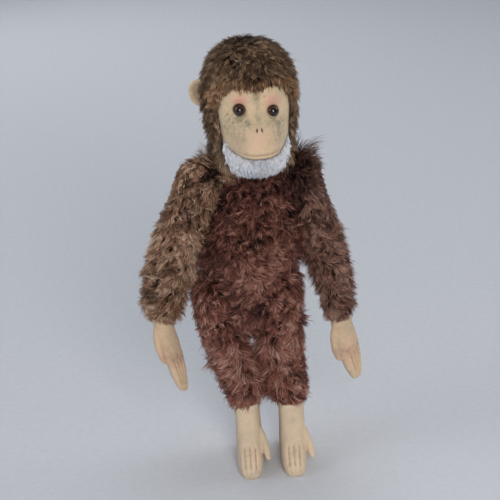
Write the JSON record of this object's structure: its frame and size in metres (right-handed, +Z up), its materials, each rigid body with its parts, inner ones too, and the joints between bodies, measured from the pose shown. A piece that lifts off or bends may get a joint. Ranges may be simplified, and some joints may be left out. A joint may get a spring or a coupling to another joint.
{
  "type": "jointed plush monkey",
  "caption": "Standing jointed toy monkey: mohair plush body, felt face, hands and feet, glass eyes, swivelling head, and arms and legs that swing on hidden disc joints.",
  "frame": {"origin": "on the surface that the soles stand on, at the middle of the toy's own width and depth", "axes": "+Z up through the head, -Y the way the face looks, +X the toy's own left side"},
  "size_m": [0.1199, 0.0669, 0.248],
  "materials": {
    "olive_mohair": "matte",
    "russet_mohair": "matte",
    "skin_felt": "matte",
    "white_plush": "matte",
    "wood_wool": "matte",
    "fibreboard_disc": "matte",
    "sole_card": "matte",
    "steel_hardware": "satin",
    "brown_thread": "matte",
    "eye_glass": "gloss"
  },
  "bodies": {
    "torso": {"torso_skin": "russet_mohair", "torso_stuffing": "wood_wool", "torso_closing_seam": "brown_thread", "neck_torso_disc": "fibreboard_disc", "neck_torso_washer": "steel_hardware", "left_shoulder_torso_disc": "fibreboard_disc", "left_shoulder_torso_washer": "steel_hardware", "right_shoulder_torso_disc": "fibreboard_disc", "right_shoulder_torso_washer": "steel_hardware", "left_hip_torso_disc": "fibreboard_disc", "left_hip_torso_washer": "steel_hardware", "right_hip_torso_disc": "fibreboard_disc", "right_hip_torso_washer": "steel_hardware"},
    "head": {"head_skin": "olive_mohair", "head_stuffing": "wood_wool", "face_mask": "skin_felt", "chin_beard": "white_plush", "left_ear": "skin_felt", "right_ear": "skin_felt", "left_eye": "eye_glass", "right_eye": "eye_glass", "eye_wires": "steel_hardware", "nose_stitches": "brown_thread", "mouth_stitches": "brown_thread", "neck_head_disc": "fibreboard_disc", "neck_head_washer": "steel_hardware", "neck_cotter_pin": "steel_hardware"},
    "left_arm": {"left_arm_skin": "olive_mohair", "left_arm_stuffing": "wood_wool", "left_hand": "skin_felt", "left_finger_stitches": "brown_thread", "left_shoulder_arm_disc": "fibreboard_disc", "left_shoulder_arm_washer": "steel_hardware", "left_shoulder_cotter_pin": "steel_hardware"},
    "right_arm": {"right_arm_skin": "olive_mohair", "right_arm_stuffing": "wood_wool", "right_hand": "skin_felt", "right_finger_stitches": "brown_thread", "right_shoulder_arm_disc": "fibreboard_disc", "right_shoulder_arm_washer": "steel_hardware", "right_shoulder_cotter_pin": "steel_hardware"},
    "left_leg": {"left_leg_skin": "russet_mohair", "left_leg_stuffing": "wood_wool", "left_foot": "skin_felt", "left_sole": "skin_felt", "left_insole": "sole_card", "left_toe_stitches": "brown_thread", "left_hip_leg_disc": "fibreboard_disc", "left_hip_leg_washer": "steel_hardware", "left_hip_cotter_pin": "steel_hardware"},
    "right_leg": {"right_leg_skin": "russet_mohair", "right_leg_stuffing": "wood_wool", "right_foot": "skin_felt", "right_sole": "skin_felt", "right_insole": "sole_card", "right_toe_stitches": "brown_thread", "right_hip_leg_disc": "fibreboard_disc", "right_hip_leg_washer": "steel_hardware", "right_hip_cotter_pin": "steel_hardware"}
  },
  "joints": [
    {"name": "neck_swivel", "type": "hinge", "parent": "torso", "child": "head", "pos_m": [0.0057, 0.005, 0.177], "axis": [0, 0, 1], "continuous": true},
    {"name": "left_shoulder", "type": "hinge", "parent": "torso", "child": "left_arm", "pos_m": [0.0262, 0.005, 0.1625], "axis": [-0.9816, 0, -0.1908], "range_deg": [-110, 110]},
    {"name": "right_shoulder", "type": "hinge", "parent": "torso", "child": "right_arm", "pos_m": [-0.0148, 0.005, 0.1625], "axis": [-0.9397, 0, 0.342], "range_deg": [-110, 110]},
    {"name": "left_hip", "type": "hinge", "parent": "torso", "child": "left_leg", "pos_m": [0.0077, 0.005, 0.1], "axis": [-0.9945, 0, 0.1045], "range_deg": [-80, 95]},
    {"name": "right_hip", "type": "hinge", "parent": "torso", "child": "right_leg", "pos_m": [-0.0133, 0.005, 0.1], "axis": [-0.9945, 0, -0.1045], "range_deg": [-80, 95]}
  ]
}
